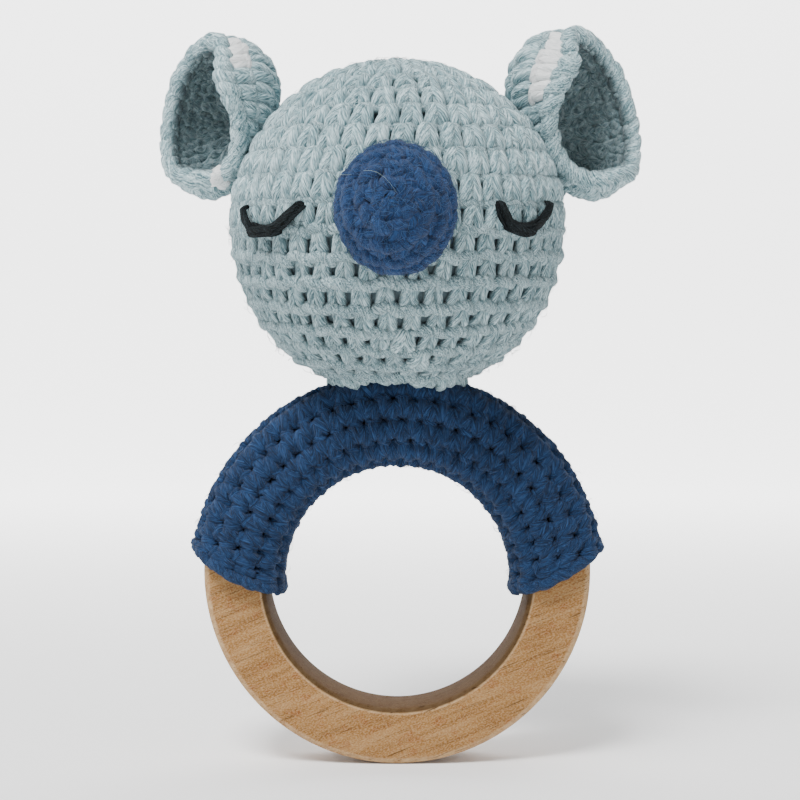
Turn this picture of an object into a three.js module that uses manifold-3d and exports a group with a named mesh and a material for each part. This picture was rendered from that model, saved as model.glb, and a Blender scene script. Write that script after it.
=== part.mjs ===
// Crocheted koala rattle on a beech teething ring.
// Millimetres, +Z up, the face looks towards -Y.
// The parts are laid out about the centre of the ring. The whole group is then
// lifted so that the ring stands on Z = 0, and moved along Y so that the toy's
// bounding box is centred on Y = 0.
import * as THREE from "three";
import { mergeVertices } from "three/addons/utils/BufferGeometryUtils.js";
import Module from "manifold-3d";

const wasm = await Module();
wasm.setup();

// ---- driving dimensions -------------------------------------------------

const GAP = 0.3; // clearance between pieces that touch

// beech ring
const RING_RADIUS = 35;
const RING_THICKNESS = 12;
const RING_EDGE = 1.2; // rounding of its edges
const HOLE_RADIUS = 24;
const HOLE_DROP = 1; // the hole sits this far below the centre of the ring

// crocheted sleeve over the upper half of the ring
const SLEEVE_DROP = 2; // the sleeve's arc is centred this far below the ring's
const SLEEVE_OUTER = 38.3;
const SLEEVE_INNER = 20.4;
const SLEEVE_DEPTH = 17.2;
const SLEEVE_CORNER = 6.5;
const SLEEVE_CLEARANCE = 0.35; // running clearance around the ring
const SLEEVE_END_X = 22.3; // lowest point of each end, at the hole
const SLEEVE_END_Z = -3.2;
const SLEEVE_END_SLOPE = 0.476; // how steeply the ends rise outwards
const SLEEVE_SEAM_INSET = 1; // the seam runs this far inside the middle of the sleeve's width
const SLEEVE_SEAM_MARGIN = 0.12; // angle left free at each end of the seam

// head
const HEAD_RADIUS = 31.2;
const HEAD_HEIGHT = 61.85; // centre of the head above the centre of the ring
const HEAD_WALL = 2.6;
const HEAD_FLOOR = 28.6; // depth of the flattened bottom below the centre
const FLOOR_ROUNDING = 0.6;

// plastic rattle capsule and its pellets
const CAPSULE_RADIUS = 11;
const CAPSULE_WALL = 1.2;
const LIP_RADIUS = 9.2;
const LIP_WALL = 0.7;
const LIP_HEIGHT = 1.8;
const PELLET_RADIUS = 1.7;
const PELLET_GAP = 0.25;
const PELLET_CIRCLE = 5;
const OUTER_PELLETS = 4;

// nose button
const NOSE_WIDTH = 20.6;
const NOSE_HEIGHT = 22.2;
const NOSE_HALF_DEPTH = 9.6;
const NOSE_SINK = 0.9; // depth of its widest section below the head's surface
const NOSE_WALL = 2.2;
const NOSE_TURN = THREE.MathUtils.degToRad(-6);

// ears: cupped ovals, sewn on along a chord from root to root
const EAR_WALL = 2.3;
const EAR_ROOT_GAP = 1.5;
const EAR_FOLD = THREE.MathUtils.degToRad(20);
const EARS = {
  left: {
    centre: [-33.2, 0, 82.7], length: 30.6, width: 21.4, depth: 19, lean: 11, side: -1,
    rootFrom: 41, rootTo: 76, white: 30,
  },
  right: {
    centre: [33.6, 0, 83.2], length: 32.4, width: 22.4, depth: 19, lean: 17, side: 1,
    rootFrom: 39, rootTo: 77, white: 44,
  },
};
// the root is given in degrees from the crown of the head, the white yarn in degrees from the ear's top
const EAR_ROOT_LIFT = 1.4; // the root line lies this far outside the head
const WHITE_PLACE = 0.9; // share of the way from the ear's middle to its edge
const WHITE_FORWARD = 4;
const EAR_TURN = 28; // degrees that the opening is turned away from the face
const EAR_MOUTH = 1.5; // the opening is cut this far in front of the widest section
const WHITE_PATCH_RADIUS = 4.6;

// threads
const SEAM_RADIUS = 0.45;
const NECK_SEAM_RADIUS = 1.2;
const SIDE_SPREAD = 2.7; // the neck seam lies this far outside the crease at the sides,
const FACE_SPREAD = 1.3; // this far in front of it and behind it,
const FACE_SINK = 0.8; // and there this far below it
const THREAD_BREAK = 0.12; // angle between a thread's two ends
const EYE_THREAD_RADIUS = 0.9;
// a closed eye hangs between its two corners: degrees round from the face, degrees up, the depth that it
// hangs below its corners, and a skew that moves the lowest point towards the first corner
const EYES = {
  left: { from: -56, to: -30, fromUp: 5, toUp: 3, drop: 9.5, skew: 0.8 },
  right: { from: 33, to: 56, fromUp: 4, toUp: 6, drop: 9.5, skew: 0.85 },
};
const EYE_POINTS = 9;

// how finely the round forms are divided: round the axis, and from pole to pole
const HEAD_FACETS = [44, 22];
const HEAD_INSIDE_FACETS = [36, 16];
const STUFFING_FACETS = [30, 12];
const CAPSULE_FACETS = 24;
const PELLET_FACETS = [10, 6];
const NOSE_FACETS = [28, 16];
const EAR_FACETS = [26, 16];
const WHITE_PATCH_FACETS = [14, 8];
const RING_FACETS = 60;
const SLEEVE_CORNER_STEPS = 3;
const THREAD_FACETS = 6;
const CAPSULE_ARC = 7; // steps in each quarter arc of the capsule
const WELD = 1e-4; // corners closer than this are one corner

// points on each thread's path, and lengths that its tube is cut into
const SLEEVE_SEAM_STEPS = [24, 36];
const NECK_SEAM_STEPS = [33, 48];
const NOSE_SEAM_STEPS = [29, 32];
const EAR_SEAM_STEPS = [9, 10];
const EYE_STEPS = 14;

// the search for the crease between the head and the sleeve, in distance from the middle
const CREASE_NEAREST = 2;
const CREASE_FARTHEST = 20;
const CREASE_HALVINGS = 30;

// ---- materials ----------------------------------------------------------

function material(color, roughness) {
  return new THREE.MeshStandardMaterial({ color, roughness, metalness: 0 });
}

const beech = () => material(0xb8956b, 0.55);
const greyYarn = () => material(0xa8bdc0, 0.95);
const navyYarn = () => material(0x264a73, 0.95);
const whiteYarn = () => material(0xe8ecec, 0.95);
const blackThread = () => material(0x16191c, 0.7);
const fibrefill = () => material(0xf2f1ec, 1);
const capsulePlastic = () => material(0xd9e2e6, 0.3);
const pelletPlastic = () => material(0xd9573f, 0.35);

// ---- helpers ------------------------------------------------------------

function solid(geometry) {
  geometry.deleteAttribute("normal");
  geometry.deleteAttribute("uv");
  const merged = mergeVertices(geometry, WELD);
  return new wasm.Manifold(new wasm.Mesh({
    numProp: 3,
    vertProperties: Float32Array.from(merged.attributes.position.array),
    triVerts: Uint32Array.from(merged.index.array),
  }));
}

function namedMesh(name, body, surface) {
  const { vertProperties, triVerts } = body.getMesh();
  const geometry = new THREE.BufferGeometry();
  geometry.setAttribute("position", new THREE.BufferAttribute(vertProperties, 3));
  geometry.setIndex(new THREE.BufferAttribute(triVerts, 1));
  geometry.computeVertexNormals();
  const mesh = new THREE.Mesh(geometry, surface);
  mesh.name = name;
  return mesh;
}

// a solid of revolution about a vertical axis, from [radius, height] points
function turned(points, segments) {
  const profile = points.map(([radius, height]) => new THREE.Vector2(radius, height));
  return new THREE.LatheGeometry(profile, segments).rotateX(Math.PI / 2);
}

// closed outline of a rectangle with round corners, counter-clockwise
function roundedSection(centre, halfWidth, halfDepth, corner, cornerSteps) {
  const outline = [];
  for (let quarter = 0; quarter < 4; quarter += 1) {
    const alongX = quarter === 0 || quarter === 3 ? 1 : -1;
    const alongY = quarter < 2 ? 1 : -1;
    for (let step = 0; step <= cornerSteps; step += 1) {
      const angle = (quarter + step / cornerSteps) * (Math.PI / 2);
      outline.push(new THREE.Vector2(
        centre + alongX * (halfWidth - corner) + corner * Math.cos(angle),
        alongY * (halfDepth - corner) + corner * Math.sin(angle),
      ));
    }
  }
  outline.push(outline[0].clone());
  return outline;
}

function circleShape(radius, steps) {
  const shape = new THREE.Shape();
  shape.absarc(0, 0, radius, 0, Math.PI * 2);
  return new THREE.Shape(shape.getPoints(steps).slice(0, steps));
}

function tube(points, radius, steps) {
  const path = new THREE.CatmullRomCurve3(points);
  return new THREE.ExtrudeGeometry(circleShape(radius, THREAD_FACETS), {
    steps, extrudePath: path, bevelEnabled: false,
  });
}

// angles once round, with a small break where a thread starts and ends
function threadAngles(count, start, thread) {
  const span = Math.PI * 2 - thread;
  return Array.from({ length: count }, (_, index) => start + thread / 2 + (span * index) / (count - 1));
}

function ball(radius, facets) {
  return new THREE.SphereGeometry(radius, ...facets);
}

function arcPoints(radius, from, to, steps) {
  const points = [];
  for (let step = 0; step <= steps; step += 1) {
    const angle = THREE.MathUtils.lerp(from, to, step / steps);
    points.push([radius * Math.cos(angle), radius * Math.sin(angle)]);
  }
  return points;
}

// ---- ring ---------------------------------------------------------------

function makeRing() {
  const outline = new THREE.Shape();
  outline.absarc(0, 0, RING_RADIUS - RING_EDGE, 0, Math.PI * 2);
  const hole = new THREE.Path();
  hole.absarc(0, -HOLE_DROP, HOLE_RADIUS + RING_EDGE, 0, Math.PI * 2, true);
  outline.holes.push(hole);
  const geometry = new THREE.ExtrudeGeometry(outline, {
    depth: RING_THICKNESS - 2 * RING_EDGE,
    bevelSize: RING_EDGE, bevelThickness: RING_EDGE, bevelSegments: 2, curveSegments: 32,
  });
  geometry.translate(0, 0, RING_EDGE - RING_THICKNESS / 2);
  geometry.rotateX(Math.PI / 2);
  return solid(geometry);
}

// ---- sleeve -------------------------------------------------------------

// the sleeve's outer form as a full torus, grown by a gap all round
function sleeveTorus(gap) {
  const centre = (SLEEVE_OUTER + SLEEVE_INNER) / 2;
  const halfWidth = (SLEEVE_OUTER - SLEEVE_INNER) / 2 + gap;
  const halfDepth = SLEEVE_DEPTH / 2 + gap;
  const section = roundedSection(centre, halfWidth, halfDepth, SLEEVE_CORNER + gap, SLEEVE_CORNER_STEPS);
  return solid(new THREE.LatheGeometry(section, RING_FACETS).translate(0, 0, -SLEEVE_DROP));
}

// everything below the two slanted ends of the sleeve
function belowSleeveEnds() {
  const reach = 2 * SLEEVE_OUTER;
  const sideZ = SLEEVE_END_Z + (reach - SLEEVE_END_X) * SLEEVE_END_SLOPE;
  const middleZ = SLEEVE_END_Z - SLEEVE_END_X * SLEEVE_END_SLOPE;
  const outline = new THREE.Shape([
    new THREE.Vector2(-reach, -reach), new THREE.Vector2(reach, -reach),
    new THREE.Vector2(reach, sideZ), new THREE.Vector2(0, middleZ), new THREE.Vector2(-reach, sideZ),
  ]);
  const block = new THREE.ExtrudeGeometry(outline, { depth: reach, bevelEnabled: false });
  return solid(block.rotateX(Math.PI / 2).translate(0, reach / 2, 0));
}

// the channel in which the ring can turn
function ringChannel() {
  const inner = HOLE_RADIUS - HOLE_DROP - SLEEVE_CLEARANCE;
  const outer = RING_RADIUS + SLEEVE_CLEARANCE;
  const halfDepth = RING_THICKNESS / 2 + SLEEVE_CLEARANCE;
  const section = roundedSection((inner + outer) / 2, (outer - inner) / 2, halfDepth, RING_EDGE, 1);
  return solid(new THREE.LatheGeometry(section, RING_FACETS));
}

function makeSleeve() {
  return sleeveTorus(0).subtract(belowSleeveEnds()).subtract(ringChannel());
}

// overcast seam that closes the sleeve behind the ring
function makeSleeveSeam() {
  const y = SLEEVE_DEPTH / 2 + GAP + SEAM_RADIUS;
  const radius = (SLEEVE_OUTER + SLEEVE_INNER) / 2 - SLEEVE_SEAM_INSET;
  const points = arcPoints(radius, SLEEVE_SEAM_MARGIN, Math.PI - SLEEVE_SEAM_MARGIN, SLEEVE_SEAM_STEPS[0])
    .map(([x, z]) => new THREE.Vector3(x, y, z - SLEEVE_DROP));
  return solid(tube(points, SEAM_RADIUS, SLEEVE_SEAM_STEPS[1]));
}

// ---- head ---------------------------------------------------------------

// a ball whose underside flattens to the floor, about the head's own centre
function headProfile(radius, floor, steps) {
  const points = [];
  for (let step = 0; step <= steps; step += 1) {
    const angle = -Math.PI / 2 + (step / steps) * Math.PI;
    const above = radius * Math.sin(angle) + floor;
    const height = (above + Math.hypot(above, 2 * FLOOR_ROUNDING)) / 2 - floor;
    points.push([step === 0 || step === steps ? 0 : radius * Math.cos(angle), height]);
  }
  return points;
}

function headSolid(inset, [around, down] = HEAD_FACETS) {
  const profile = headProfile(HEAD_RADIUS - inset, HEAD_FLOOR - inset, down);
  return solid(turned(profile, around)).translate([0, 0, HEAD_HEIGHT]);
}

function makeHeadShell() {
  return headSolid(0).subtract(headSolid(HEAD_WALL, HEAD_INSIDE_FACETS)).subtract(sleeveTorus(GAP));
}

function halfSpace(above) {
  const size = 4 * HEAD_RADIUS;
  const offset = (size + GAP) / 2;
  const block = new THREE.BoxGeometry(size, size, size);
  return solid(block.translate(0, 0, HEAD_HEIGHT + (above ? offset : -offset)));
}

// one half of the fibrefill, hollowed for the capsule
function makeStuffing(above) {
  const pocket = solid(ball(CAPSULE_RADIUS + GAP, STUFFING_FACETS)).translate([0, 0, HEAD_HEIGHT]);
  return headSolid(HEAD_WALL + GAP, STUFFING_FACETS)
    .subtract(sleeveTorus(2 * GAP))
    .intersect(halfSpace(above))
    .subtract(pocket);
}

// height of the sleeve's upper surface above the ring's centre
function sleeveTop(x, y) {
  const beyondFlat = Math.max(0, Math.abs(y) - (SLEEVE_DEPTH / 2 - SLEEVE_CORNER));
  const drop = SLEEVE_CORNER - Math.sqrt(Math.max(0, SLEEVE_CORNER ** 2 - beyondFlat ** 2));
  return Math.sqrt((SLEEVE_OUTER - drop) ** 2 - x ** 2) - SLEEVE_DROP;
}

// where the head's underside meets the sleeve, in a given direction from above
function neckPoint(angle) {
  let near = CREASE_NEAREST;
  let far = CREASE_FARTHEST;
  for (let halving = 0; halving < CREASE_HALVINGS; halving += 1) {
    const middle = (near + far) / 2;
    const above = HEAD_FLOOR - Math.sqrt(HEAD_RADIUS ** 2 - middle ** 2);
    const headBottom = HEAD_HEIGHT - HEAD_FLOOR + (above + Math.hypot(above, 2 * FLOOR_ROUNDING)) / 2;
    const x = middle * Math.cos(angle);
    const y = middle * Math.sin(angle);
    const inside = Math.abs(y) < SLEEVE_DEPTH / 2 && sleeveTop(x, y) > headBottom;
    if (inside) near = middle;
    else far = middle;
  }
  const x = near * Math.cos(angle);
  const y = near * Math.sin(angle);
  return new THREE.Vector3(x, y, sleeveTop(x, y));
}

// yarn bead that sews the head to the sleeve
function makeNeckSeam() {
  const points = threadAngles(NECK_SEAM_STEPS[0], Math.PI / 2, THREAD_BREAK).map((angle) => {
    const crease = neckPoint(angle);
    const side = Math.cos(angle);
    const face = Math.sin(angle);
    return crease.add(new THREE.Vector3(SIDE_SPREAD * side, FACE_SPREAD * face, -FACE_SINK * Math.abs(face)));
  });
  return solid(tube(points, NECK_SEAM_RADIUS, NECK_SEAM_STEPS[1]))
    .subtract(sleeveTorus(GAP))
    .subtract(headSolid(-GAP));
}

// ---- rattle capsule -----------------------------------------------------

function makeCapsuleUpper() {
  const start = Math.asin(GAP / 2 / CAPSULE_RADIUS);
  const outer = arcPoints(CAPSULE_RADIUS, start, Math.PI / 2, CAPSULE_ARC);
  const inner = arcPoints(CAPSULE_RADIUS - CAPSULE_WALL, Math.PI / 2, start, CAPSULE_ARC);
  outer.at(-1)[0] = 0;
  inner[0][0] = 0;
  return solid(turned([...outer, ...inner, outer[0]], CAPSULE_FACETS)).translate([0, 0, HEAD_HEIGHT]);
}

function makeCapsuleLower() {
  const insideRadius = CAPSULE_RADIUS - CAPSULE_WALL;
  const lipInner = LIP_RADIUS - LIP_WALL;
  const start = -Math.asin(GAP / 2 / CAPSULE_RADIUS);
  const outer = arcPoints(CAPSULE_RADIUS, -Math.PI / 2, start, CAPSULE_ARC);
  const inner = arcPoints(insideRadius, -Math.acos(lipInner / insideRadius), -Math.PI / 2, CAPSULE_ARC);
  outer[0][0] = 0;
  inner.at(-1)[0] = 0;
  const lip = [[LIP_RADIUS, -GAP / 2], [LIP_RADIUS, LIP_HEIGHT], [lipInner, LIP_HEIGHT]];
  return solid(turned([...outer, ...lip, ...inner], CAPSULE_FACETS)).translate([0, 0, HEAD_HEIGHT]);
}

function makePellet(index) {
  const reach = CAPSULE_RADIUS - CAPSULE_WALL - PELLET_RADIUS - PELLET_GAP;
  const distance = index === 0 ? 0 : PELLET_CIRCLE;
  const angle = (index / OUTER_PELLETS) * Math.PI * 2 + Math.PI / 4;
  const low = HEAD_HEIGHT - Math.sqrt(reach ** 2 - distance ** 2);
  return solid(ball(PELLET_RADIUS, PELLET_FACETS))
    .translate([distance * Math.cos(angle), distance * Math.sin(angle), low]);
}

// ---- nose ---------------------------------------------------------------

function noseEllipsoid(inset) {
  const shape = ball(1, NOSE_FACETS).rotateX(Math.PI / 2);
  shape.scale(NOSE_WIDTH / 2 - inset, NOSE_HALF_DEPTH - inset, NOSE_HEIGHT / 2 - inset);
  return solid(shape.rotateY(NOSE_TURN).translate(0, NOSE_SINK - HEAD_RADIUS, HEAD_HEIGHT));
}

function makeNoseCap() {
  return noseEllipsoid(0).subtract(noseEllipsoid(NOSE_WALL)).subtract(headSolid(-GAP));
}

function makeNoseStuffing() {
  return noseEllipsoid(NOSE_WALL + GAP).subtract(headSolid(-GAP));
}

// a point on the head, given degrees round from the face and degrees up
function onHead(azimuth, elevation, lift) {
  const theta = THREE.MathUtils.degToRad(azimuth);
  const phi = THREE.MathUtils.degToRad(elevation);
  const radius = HEAD_RADIUS + lift;
  return new THREE.Vector3(
    radius * Math.cos(phi) * Math.sin(theta),
    -radius * Math.cos(phi) * Math.cos(theta),
    HEAD_HEIGHT + radius * Math.sin(phi),
  );
}

function makeNoseSeam() {
  const lift = GAP + SEAM_RADIUS;
  const points = threadAngles(NOSE_SEAM_STEPS[0], -Math.PI / 2, THREAD_BREAK).map((angle) => {
    const x = (NOSE_WIDTH / 2 + lift) * Math.cos(angle);
    const z = (NOSE_HEIGHT / 2 + lift) * Math.sin(angle);
    const turnedX = x * Math.cos(NOSE_TURN) + z * Math.sin(NOSE_TURN);
    const turnedZ = z * Math.cos(NOSE_TURN) - x * Math.sin(NOSE_TURN);
    const y = -Math.sqrt((HEAD_RADIUS + lift) ** 2 - turnedX ** 2 - turnedZ ** 2);
    return new THREE.Vector3(turnedX, y, HEAD_HEIGHT + turnedZ);
  });
  return solid(tube(points, SEAM_RADIUS, NOSE_SEAM_STEPS[1]))
    .subtract(headSolid(-GAP))
    .subtract(noseEllipsoid(-GAP));
}

// ---- eyes ---------------------------------------------------------------

function makeEye(eye) {
  const lift = EYE_THREAD_RADIUS / 2;
  const path = Array.from({ length: EYE_POINTS }, (_, index) => {
    const share = index / (EYE_POINTS - 1);
    const across = (1 - Math.cos(Math.PI * share)) / 2;
    const hang = eye.drop * Math.sin(Math.PI * share ** eye.skew);
    const up = THREE.MathUtils.lerp(eye.fromUp, eye.toUp, share) - hang;
    return onHead(THREE.MathUtils.lerp(eye.from, eye.to, across), up, lift);
  });
  return solid(tube(path, EYE_THREAD_RADIUS, EYE_STEPS)).subtract(headSolid(-GAP));
}

// ---- ears ---------------------------------------------------------------

function earEllipsoid(ear, inset) {
  const shape = ball(1, EAR_FACETS);
  shape.scale(ear.width / 2 - inset, ear.depth / 2 - inset, ear.length / 2 - inset);
  shape.rotateY(THREE.MathUtils.degToRad(-ear.side * ear.lean));
  return solid(shape.translate(...ear.centre));
}

// a place on the line where the ear is sewn on, in degrees from the crown of the head
function earRoot(ear, angle) {
  const radius = HEAD_RADIUS + EAR_ROOT_LIFT;
  const theta = THREE.MathUtils.degToRad(angle);
  return new THREE.Vector3(ear.side * radius * Math.sin(theta), 0, HEAD_HEIGHT + radius * Math.cos(theta));
}

// everything in front of the opening
function earOpening(ear) {
  const size = 3 * ear.length;
  const block = new THREE.BoxGeometry(size, size, size).translate(0, -size / 2 - EAR_MOUTH, 0);
  block.rotateZ(THREE.MathUtils.degToRad(ear.side * EAR_TURN));
  return solid(block.translate(...ear.centre));
}

// the head, grown by a gap and turned about the ear's root by an angle
function headTurnedAboutRoot(ear, angle, gap) {
  const root = earRoot(ear, ear.rootTo);
  const axis = earRoot(ear, ear.rootFrom).sub(root).normalize();
  const head = ball(HEAD_RADIUS + gap, HEAD_FACETS).translate(0, 0, HEAD_HEIGHT);
  head.translate(-root.x, -root.y, -root.z);
  head.applyMatrix4(new THREE.Matrix4().makeRotationAxis(axis, angle));
  return solid(head.translate(root.x, root.y, root.z));
}

function makeEarCup(ear) {
  let cup = earEllipsoid(ear, 0).subtract(earEllipsoid(ear, EAR_WALL)).subtract(earOpening(ear));
  for (const angle of [-EAR_FOLD, 0, EAR_FOLD]) {
    cup = cup.subtract(headTurnedAboutRoot(ear, angle, EAR_ROOT_GAP));
  }
  return cup;
}

function whitePatch(ear, gap) {
  const theta = THREE.MathUtils.degToRad(ear.white);
  const inward = -ear.side * WHITE_PLACE * (ear.width / 2) * Math.sin(theta);
  const upward = WHITE_PLACE * (ear.length / 2) * Math.cos(theta);
  const place = new THREE.Vector3(inward, 0, upward);
  place.applyAxisAngle(new THREE.Vector3(0, 1, 0), THREE.MathUtils.degToRad(-ear.side * ear.lean));
  place.add(new THREE.Vector3(...ear.centre));
  const patch = solid(ball(WHITE_PATCH_RADIUS + gap, WHITE_PATCH_FACETS));
  return patch.translate([place.x, place.y - WHITE_FORWARD, place.z]);
}

// line of sewing along the ear's root, on the surface of the head
function makeEarSeam(ear) {
  const lift = GAP + SEAM_RADIUS;
  const centre = new THREE.Vector3(0, 0, HEAD_HEIGHT);
  const top = earRoot(ear, ear.rootFrom).sub(centre);
  const bottom = earRoot(ear, ear.rootTo).sub(centre);
  const [count, steps] = EAR_SEAM_STEPS;
  const points = [];
  for (let index = 0; index < count; index += 1) {
    const point = top.clone().lerp(bottom, index / (count - 1));
    points.push(point.setLength(HEAD_RADIUS + lift).add(centre));
  }
  return solid(tube(points, SEAM_RADIUS, steps));
}

// ---- assembly -----------------------------------------------------------

const toy = new THREE.Group();
const noseTip = HEAD_RADIUS - NOSE_SINK + NOSE_HALF_DEPTH;
const centring = new THREE.Vector3(0, (noseTip - HEAD_RADIUS) / 2, RING_RADIUS);
toy.position.copy(centring);

function add(name, body, surface) {
  toy.add(namedMesh(name, body, surface));
}

add("wooden_ring", makeRing(), beech());
add("ring_sleeve", makeSleeve(), navyYarn());
add("sleeve_seam", makeSleeveSeam(), navyYarn());
add("neck_seam", makeNeckSeam(), greyYarn());
add("head_shell", makeHeadShell(), greyYarn());
add("head_stuffing_upper", makeStuffing(true), fibrefill());
add("head_stuffing_lower", makeStuffing(false), fibrefill());
add("capsule_upper", makeCapsuleUpper(), capsulePlastic());
add("capsule_lower", makeCapsuleLower(), capsulePlastic());
for (let index = 0; index <= OUTER_PELLETS; index += 1) {
  add(`pellet_${index + 1}`, makePellet(index), pelletPlastic());
}
add("nose_cap", makeNoseCap(), navyYarn());
add("nose_stuffing", makeNoseStuffing(), fibrefill());
add("nose_seam", makeNoseSeam(), navyYarn());
for (const [side, eye] of Object.entries(EYES)) {
  add(`eye_${side}`, makeEye(eye), blackThread());
}
for (const [side, ear] of Object.entries(EARS)) {
  const cup = makeEarCup(ear);
  add(`ear_${side}`, cup.subtract(whitePatch(ear, GAP)), greyYarn());
  add(`ear_white_${side}`, cup.intersect(whitePatch(ear, 0)), whiteYarn());
  add(`ear_seam_${side}`, makeEarSeam(ear), greyYarn());
}

export default toy;
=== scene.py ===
"""Looks of the crocheted koala rattle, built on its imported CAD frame.

Lengths in the crochet code are millimetres, about the centre of the piece being
made; every mesh is written in metres in the frame of the CAD model.
"""
import math

import bpy
import numpy as np
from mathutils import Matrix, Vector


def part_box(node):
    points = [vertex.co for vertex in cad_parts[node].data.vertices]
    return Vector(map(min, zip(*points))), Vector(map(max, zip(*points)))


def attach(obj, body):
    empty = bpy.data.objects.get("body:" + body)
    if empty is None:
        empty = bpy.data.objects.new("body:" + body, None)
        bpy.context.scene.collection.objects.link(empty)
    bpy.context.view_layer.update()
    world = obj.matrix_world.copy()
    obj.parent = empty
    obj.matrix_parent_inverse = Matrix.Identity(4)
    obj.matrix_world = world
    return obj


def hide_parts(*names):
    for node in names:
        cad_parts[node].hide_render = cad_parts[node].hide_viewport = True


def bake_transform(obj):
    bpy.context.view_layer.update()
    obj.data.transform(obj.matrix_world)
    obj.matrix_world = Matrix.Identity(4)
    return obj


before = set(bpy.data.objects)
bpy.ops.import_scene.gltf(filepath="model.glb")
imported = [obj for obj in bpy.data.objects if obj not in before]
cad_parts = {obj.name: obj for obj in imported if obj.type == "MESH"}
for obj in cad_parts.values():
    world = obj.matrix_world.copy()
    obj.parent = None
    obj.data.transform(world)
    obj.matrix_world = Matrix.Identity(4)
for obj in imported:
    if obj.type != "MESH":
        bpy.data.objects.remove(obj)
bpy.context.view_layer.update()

MM = 0.001
TURN = 2 * math.pi
RANDOM = np.random.default_rng(7)


def add_object(name, data):
    made = bpy.data.objects.new(name, data)
    bpy.context.scene.collection.objects.link(made)
    return made


# ---- places, worked out from the frame ----


def box_mm(node):
    """A node's lowest and highest corners in millimetres."""
    low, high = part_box(node)
    return np.array(low) / MM, np.array(high) / MM


ring_low, ring_high = box_mm("wooden_ring")
RING_CENTRE = (ring_low + ring_high) / 2
RING_RADIUS = (ring_high[2] - ring_low[2]) / 2
RING_HALF_DEPTH = (ring_high[1] - ring_low[1]) / 2

head_high = box_mm("head_shell")[1]
HEAD_RADIUS = 31.2
HEAD_CENTRE = np.array([0.0, RING_CENTRE[1], head_high[2] - HEAD_RADIUS])

NOSE_CENTRE = sum(box_mm("nose_cap")) / 2

# ---- driving sizes ----

HOLE_RADIUS = 24.0
HOLE_DROP = 1.0
RING_EDGE = 1.2

SLEEVE_DROP = 2.0
SLEEVE_OUTER = 38.3
SLEEVE_INNER = 20.4
SLEEVE_DEPTH = 17.2
SLEEVE_END = (22.3, -3.2, 0.476)  # lowest point of each end in x and z, and its slope

HEAD_FLOOR = 28.6
HEAD_NOD = math.radians(7)
HEAD_STITCHES = 45
HEAD_ROUNDS = 18
ROUND_STEP = math.radians(8.65)

CAMERA_DISTANCE = 250.0
CAMERA_HEIGHT = 30.8  # above the centre of the ring
CAMERA_SIDE = 0.5
FIELD_WIDTH = 147.9  # what the picture takes in at the plane of the ring


# ---- camera, stage and lights ----


def add_camera():
    data = bpy.data.cameras.new("camera")
    data.sensor_width = 36.0
    data.lens = data.sensor_width * CAMERA_DISTANCE / FIELD_WIDTH
    camera = add_object("camera", data)
    camera.location = (RING_CENTRE + [CAMERA_SIDE, -CAMERA_DISTANCE, CAMERA_HEIGHT]) * MM
    camera.rotation_euler = (math.pi / 2, 0, 0)
    bpy.context.scene.camera = camera


STAGE_GLOW = 2.6  # how much the sweep glows towards its back
EDGE_GLOW = 1.3  # and towards its other edges, so that they don't end in a dark band


def add_stage():
    """A pale sweep: flat floor, round corner, upright back, lit through from behind."""
    width, front, back, corner, height = 1.8, -1.6, 0.7, 0.5, 2.2
    profile = [(front, 0.0), (back, 0.0)]
    for step in range(1, 13):
        angle = step / 12 * math.pi / 2
        profile.append((back + corner * math.sin(angle), corner * (1 - math.cos(angle))))
    profile.append((back + corner, height))
    verts = [(x, y, z) for y, z in profile for x in (-width, width)]
    faces = [(2 * i, 2 * i + 1, 2 * i + 3, 2 * i + 2) for i in range(len(profile) - 1)]
    mesh = bpy.data.meshes.new("stage")
    mesh.from_pydata(verts, [], faces)
    mesh.shade_smooth()
    nodes = Nodes("stage_paper")
    place = nodes.add("ShaderNodeTexCoord").outputs["Object"]
    depth = nodes.add("ShaderNodeSeparateXYZ", Vector=place).outputs["Y"]
    reach = nodes.add("ShaderNodeVectorMath", {"operation": "LENGTH"}, Vector=place).outputs["Value"]
    glow = nodes.math("MAXIMUM", nodes.smooth_step(depth, -0.05, 0.7, STAGE_GLOW),
                      nodes.smooth_step(reach, 0.7, 1.8, EDGE_GLOW))
    mesh.materials.append(nodes.finish(Base_Color=(0.9, 0.9, 0.9, 1), Roughness=0.9,
                                       Emission_Color=(1, 1, 1, 1), Emission_Strength=glow))
    add_object("stage", mesh)


def add_area(name, place, aim, size, watts):
    data = bpy.data.lights.new(name, "AREA")
    data.shape = "DISK"
    data.size = size
    data.energy = watts
    lamp = add_object(name, data)
    lamp.location = place
    direction = np.array(aim) - np.array(place)
    flat = math.hypot(direction[0], direction[1])
    lamp.rotation_euler = (math.atan2(flat, -direction[2]), 0, math.atan2(-direction[0], direction[1]))


WORLD_LIGHT = 0.17  # the world's light on the object
WORLD_SEEN = 1.45  # the same world seen past the stage's edges


def add_lights():
    middle = (0, 0, 0.075)
    add_area("key", (-0.30, -0.50, 1.05), middle, size=0.45, watts=21.5)
    add_area("fill", (0.75, -0.6, 0.60), middle, size=0.7, watts=1.8)
    add_area("left_side", (-0.85, -0.15, 0.4), middle, size=0.6, watts=1.8)
    world = bpy.data.worlds.new("studio")
    world.use_nodes = True
    tree = world.node_tree
    background = tree.nodes["Background"]
    seen = tree.nodes.new("ShaderNodeBackground")
    for shader, strength in ((background, WORLD_LIGHT), (seen, WORLD_SEEN)):
        shader.inputs["Color"].default_value = (1, 1, 1, 1)
        shader.inputs["Strength"].default_value = strength
    ray = tree.nodes.new("ShaderNodeLightPath")
    choose = tree.nodes.new("ShaderNodeMixShader")
    for output, socket in zip((ray.outputs["Is Camera Ray"], background.outputs[0], seen.outputs[0]),
                              choose.inputs):
        tree.links.new(output, socket)
    tree.links.new(choose.outputs[0], tree.nodes["World Output"].inputs["Surface"])
    bpy.context.scene.world = world


# ---- meshes ----


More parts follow.
